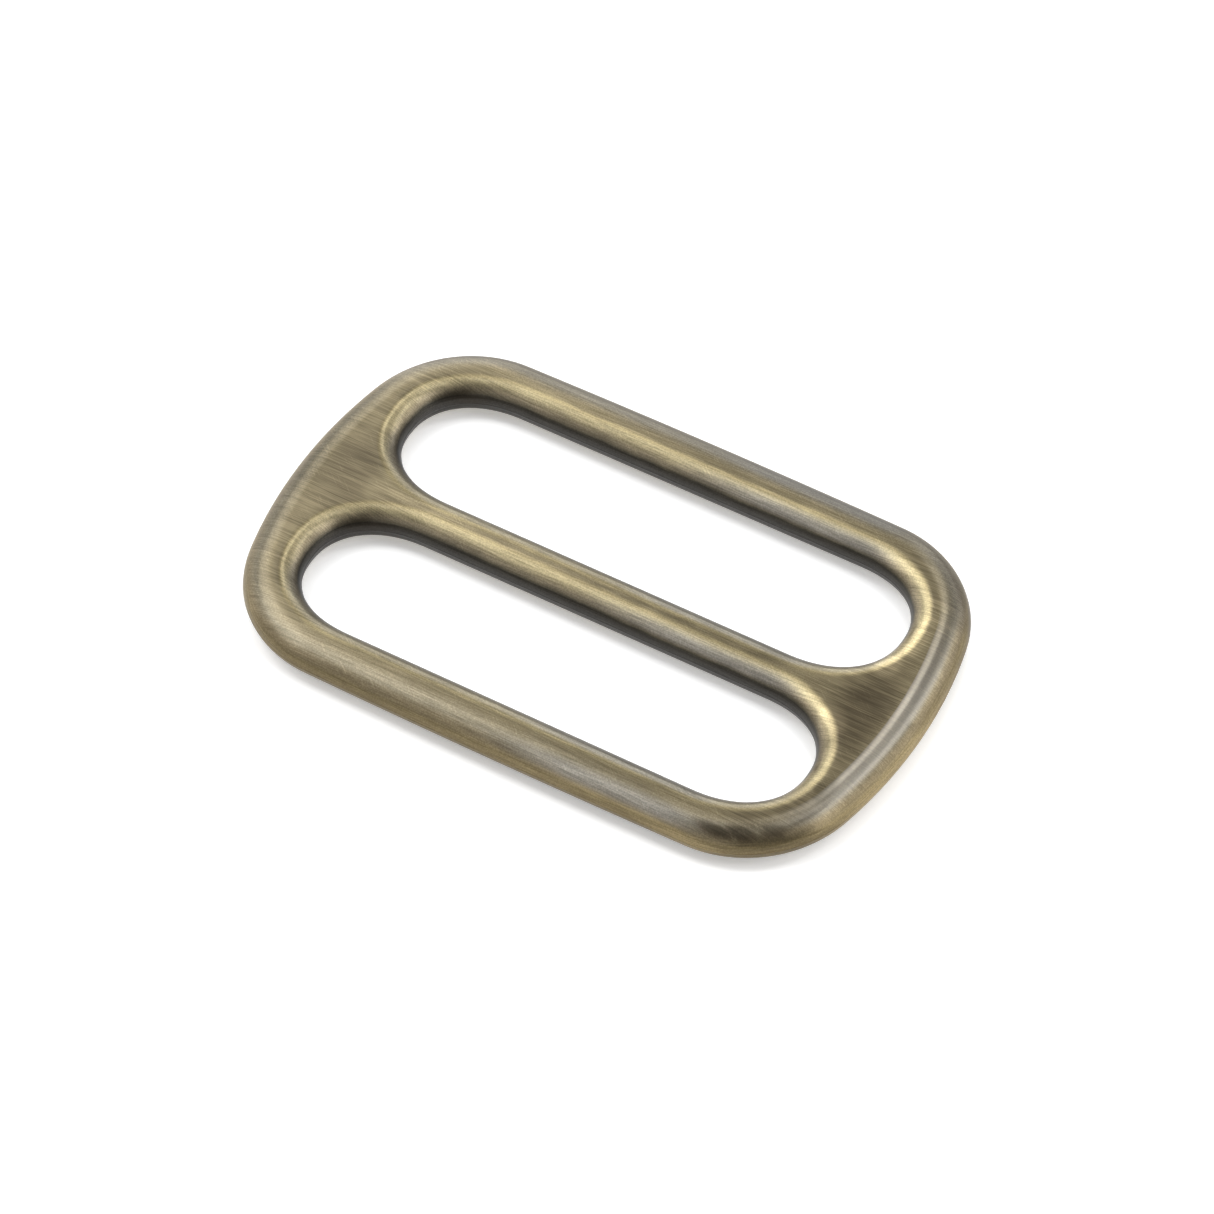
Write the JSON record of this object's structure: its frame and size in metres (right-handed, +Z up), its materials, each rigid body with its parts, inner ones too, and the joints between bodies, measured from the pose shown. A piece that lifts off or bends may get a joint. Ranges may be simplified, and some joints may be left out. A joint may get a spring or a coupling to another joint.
{
  "type": "strap slider buckle",
  "caption": "Flat oblong strap slider with rounded corners, long side-by-side webbing slots and an oval centre bar between them.",
  "frame": {"origin": "centre of the underside, on the plane the slider lies on", "axes": "+X along the slots and bars, +Y across the bars, +Z up through the thickness"},
  "size_m": [0.05, 0.0306, 0.003],
  "materials": {
    "antique_brass": "brushed antique-brass plating over a zinc casting: light brass on the crowns and outer edge, darker brown patina on the walls of the slots"
  },
  "bodies": {
    "root": {"slider_body": "antique_brass"}
  },
  "joints": []
}
